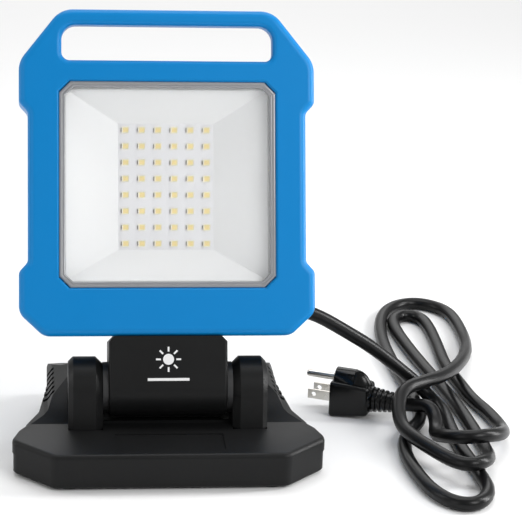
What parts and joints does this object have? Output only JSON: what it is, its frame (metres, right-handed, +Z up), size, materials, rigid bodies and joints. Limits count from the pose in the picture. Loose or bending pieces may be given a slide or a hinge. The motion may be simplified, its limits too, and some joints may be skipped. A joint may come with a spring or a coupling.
{
  "type": "work light",
  "caption": "Mains LED work light: a blue head with a carry handle tilts on a black weighted base, with its cord and plug.",
  "frame": {"origin": "centre of the base's outline, on the floor under the rubber feet", "axes": "+X to the right seen from the front, +Y towards the back, +Z up; the head is at rest leaning back by 20.5 degrees"},
  "size_m": [0.3301, 0.3715, 0.2691],
  "materials": {
    "blue_shell": "smooth moulded, light satin gloss",
    "black_plastic": "fine moulded texture",
    "grey_bezel": "satin",
    "clear_glass": "clear, polished",
    "white_reflector": "bright white, smooth",
    "white_board": "white solder mask",
    "led_yellow": "phosphor, satin, unlit",
    "green_board": "circuit board",
    "bare_aluminium": "die cast, fine grain",
    "bare_steel": "zinc plated",
    "bush_bronze": "sintered",
    "washer_plastic": "dull, dry",
    "seal_rubber": "matt",
    "cord_rubber": "smooth rubber jacket, soft sheen",
    "button_rubber": "soft, matt",
    "gloss_black": "moulded, glossy",
    "plated_brass": "nickel plated"
  },
  "bodies": {
    "base": {"base_shell": "black_plastic", "base_tray": "black_plastic", "ear_left": "black_plastic", "ear_right": "black_plastic", "axle_caps": "black_plastic", "tilt_axle": "bare_steel", "axle_nut": "bare_steel", "base_screws": "bare_steel", "ear_screws": "bare_steel", "ballast_plate": "bare_steel", "ballast_screws": "bare_steel", "friction_washers": "washer_plastic", "rubber_feet": "seal_rubber", "cord_lead": "cord_rubber", "cord_loops": "cord_rubber", "plug_relief": "cord_rubber", "plug_body": "gloss_black", "plug_blades": "plated_brass", "plug_ground_pin": "plated_brass"},
    "head": {"head_frame": "blue_shell", "heat_sink": "bare_aluminium", "lens_bezel": "grey_bezel", "lens_glass": "clear_glass", "lens_seal": "seal_rubber", "cover_seal": "seal_rubber", "cord_relief": "seal_rubber", "reflector": "white_reflector", "led_board": "white_board", "led_chips": "led_yellow", "driver_cover": "black_plastic", "cord_gland": "black_plastic", "gland_nut": "black_plastic", "hinge_block": "black_plastic", "switch_socket": "black_plastic", "driver_parts": "black_plastic", "driver_board": "green_board", "cover_screws": "bare_steel", "board_standoffs": "bare_steel", "block_screws": "bare_steel", "axle_bushes": "bush_bronze", "lead_tail": "cord_rubber"},
    "switch": {"switch_button": "button_rubber"}
  },
  "joints": [
    {"name": "head_tilt", "type": "hinge", "parent": "base", "child": "head", "pos_m": [0, -0.017, 0.043], "axis": [-1, 0, 0], "range_deg": [-110, 24], "deforming": ["cord_lead"]},
    {"name": "switch_press", "type": "slide", "parent": "head", "child": "switch", "axis": [0, -0.9367, 0.3502], "range_m": [0, 0.002], "stiffness_N_per_m": 400}
  ]
}
